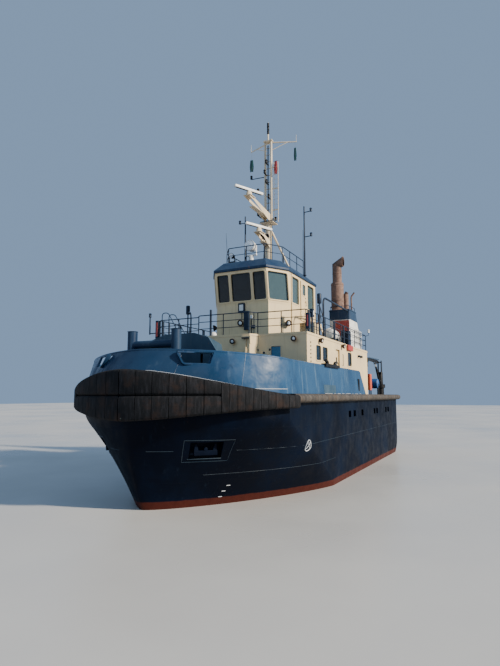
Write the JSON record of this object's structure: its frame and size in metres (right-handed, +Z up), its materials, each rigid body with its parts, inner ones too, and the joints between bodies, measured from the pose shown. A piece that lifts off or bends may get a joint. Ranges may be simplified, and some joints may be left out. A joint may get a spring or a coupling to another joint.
{
  "type": "harbour tugboat",
  "caption": "Compact harbour tugboat afloat, with raised foredeck, wheelhouse, twin funnels, towing winch, deck crane and azimuthing thrusters.",
  "frame": {"origin": "amidships on the centreline, at the waterline", "axes": "+X to the bow, +Y to port, +Z up"},
  "size_m": [26.0028, 10.065, 23.89],
  "materials": {
    "hull_paint": "weathered dark navy paint",
    "bulwark_paint": "weathered mid blue paint",
    "fender_rubber": "worn matt rubber",
    "strake_rubber": "worn matt rubber",
    "cream_paint": "satin cream paint",
    "roof_paint": "satin blue paint",
    "gear_paint": "worn grey blue paint",
    "white_paint": "gloss white paint",
    "exhaust_steel": "rusty",
    "lamp_black": "black paint",
    "window_glass": "tinted",
    "floor_covering": "worn",
    "seat_cover": "matt black",
    "thruster_paint": "antifouling paint",
    "propeller_bronze": "cast and ground",
    "rod_chrome": "polished"
  },
  "bodies": {
    "boat": {"hull": "hull_paint", "raised_foredeck": "hull_paint", "bulwark_aft": "hull_paint", "bulwark_forward": "bulwark_paint", "bow_fender": "fender_rubber", "rubbing_strake": "strake_rubber", "deckhouse_front": "cream_paint", "deckhouse_port": "cream_paint", "deckhouse_starboard": "cream_paint", "deckhouse_aft": "cream_paint", "deckhouse_top": "cream_paint", "wheelhouse_front": "cream_paint", "wheelhouse_port": "cream_paint", "wheelhouse_starboard": "cream_paint", "wheelhouse_aft": "cream_paint", "mast": "cream_paint", "mast_yard": "cream_paint", "wheelhouse_roof": "roof_paint", "deckhouse_rail": "roof_paint", "roof_rail": "roof_paint", "signal_pole_port": "roof_paint", "signal_pole_starboard": "roof_paint", "vent_port": "roof_paint", "h_bitt": "gear_paint", "fore_winch_frame": "gear_paint", "tow_hook_post": "gear_paint", "aft_bitt": "gear_paint", "capstan": "gear_paint", "crane_pedestal": "gear_paint", "anchor_port": "gear_paint", "anchor_starboard": "gear_paint", "wheelhouse_console": "gear_paint", "funnel_port": "white_paint", "funnel_starboard": "white_paint", "searchlight_large": "white_paint", "life_raft": "white_paint", "exhaust_port": "exhaust_steel", "exhaust_starboard": "exhaust_steel", "searchlight_small": "lamp_black", "wheelhouse_glass": "window_glass", "wheelhouse_floor": "floor_covering", "helm_seat": "seat_cover"},
    "door_house_port": {"deckhouse_door_port": "cream_paint"},
    "door_house_starboard": {"deckhouse_door_starboard": "cream_paint"},
    "door_house_aft": {"deckhouse_door_aft": "cream_paint"},
    "door_bridge_port": {"wheelhouse_door_port": "cream_paint"},
    "door_bridge_starboard": {"wheelhouse_door_starboard": "cream_paint"},
    "radar_upper": {"radar_scanner_upper": "white_paint"},
    "radar_lower": {"radar_scanner_lower": "white_paint"},
    "winch_drum": {"fore_winch_drum": "gear_paint"},
    "hook": {"tow_hook": "gear_paint"},
    "crane_slewing": {"crane_column": "gear_paint"},
    "crane_jib": {"crane_boom": "gear_paint"},
    "crane_cylinder": {"crane_barrel": "gear_paint"},
    "crane_piston": {"crane_rod": "rod_chrome"},
    "azimuth_port": {"thruster_port": "thruster_paint"},
    "azimuth_starboard": {"thruster_starboard": "thruster_paint"},
    "screw_port": {"propeller_port": "propeller_bronze"},
    "screw_starboard": {"propeller_starboard": "propeller_bronze"}
  },
  "joints": [
    {"name": "deckhouse_port_door", "type": "hinge", "parent": "boat", "child": "door_house_port", "pos_m": [0.6, 3.879, 4.32], "axis": [0, 0, 1], "range_deg": [0, 110]},
    {"name": "deckhouse_starboard_door", "type": "hinge", "parent": "boat", "child": "door_house_starboard", "pos_m": [0.6, -3.879, 4.32], "axis": [0, 0, -1], "range_deg": [0, 110]},
    {"name": "deckhouse_aft_door", "type": "hinge", "parent": "boat", "child": "door_house_aft", "pos_m": [-6.331, 1.9, 3.05], "axis": [0, 0, -1], "range_deg": [0, 110]},
    {"name": "wheelhouse_port_door", "type": "hinge", "parent": "boat", "child": "door_bridge_port", "pos_m": [0.7, 2.181, 7.95], "axis": [0, 0, -1], "range_deg": [0, 110]},
    {"name": "wheelhouse_starboard_door", "type": "hinge", "parent": "boat", "child": "door_bridge_starboard", "pos_m": [0.7, -2.181, 7.95], "axis": [0, 0, 1], "range_deg": [0, 110]},
    {"name": "upper_radar_turn", "type": "hinge", "parent": "boat", "child": "radar_upper", "pos_m": [2.54, 0, 14.9], "axis": [0, 0, 1], "continuous": true},
    {"name": "lower_radar_turn", "type": "hinge", "parent": "boat", "child": "radar_lower", "pos_m": [1.3, 0, 13.26], "axis": [0, 0, 1], "continuous": true},
    {"name": "winch_drum_turn", "type": "hinge", "parent": "boat", "child": "winch_drum", "pos_m": [7.9, 0, 5.25], "axis": [0, 1, 0], "continuous": true},
    {"name": "tow_hook_swing", "type": "hinge", "parent": "boat", "child": "hook", "pos_m": [-7.4, 0, 4], "axis": [0, 0, 1], "range_deg": [-80, 80]},
    {"name": "crane_slew", "type": "hinge", "parent": "boat", "child": "crane_slewing", "pos_m": [-10.8, 3.85, 4.65], "axis": [0, 0, 1], "range_deg": [-180, 180]},
    {"name": "crane_luff", "type": "hinge", "parent": "crane_slewing", "child": "crane_jib", "pos_m": [-10.8, 3.85, 6.35], "axis": [0, -1, 0], "range_deg": [0, 60]},
    {"name": "crane_cylinder_turn", "type": "hinge", "parent": "crane_slewing", "child": "crane_cylinder", "pos_m": [-10.38, 3.85, 5], "axis": [0, -1, 0], "range_deg": [0, 40]},
    {"name": "crane_rod_slide", "type": "slide", "parent": "crane_cylinder", "child": "crane_piston", "axis": [0.6752, 0, 0.7377], "range_m": [0, 1.05]},
    {"name": "port_thruster_turn", "type": "hinge", "parent": "boat", "child": "azimuth_port", "pos_m": [-10.6, 2.15, -1.5], "axis": [0, 0, 1], "continuous": true},
    {"name": "starboard_thruster_turn", "type": "hinge", "parent": "boat", "child": "azimuth_starboard", "pos_m": [-10.6, -2.15, -1.5], "axis": [0, 0, 1], "continuous": true},
    {"name": "port_propeller_turn", "type": "hinge", "parent": "azimuth_port", "child": "screw_port", "pos_m": [-11.2, 2.15, -2.8], "axis": [1, 0, 0], "continuous": true},
    {"name": "starboard_propeller_turn", "type": "hinge", "parent": "azimuth_starboard", "child": "screw_starboard", "pos_m": [-11.2, -2.15, -2.8], "axis": [1, 0, 0], "continuous": true}
  ],
  "couplings": [
    {"joint": "crane_cylinder_turn", "follows": "crane_luff", "ratio": 0.5321},
    {"joint": "crane_rod_slide", "follows": "crane_luff", "m_per_rad": 0.963}
  ]
}
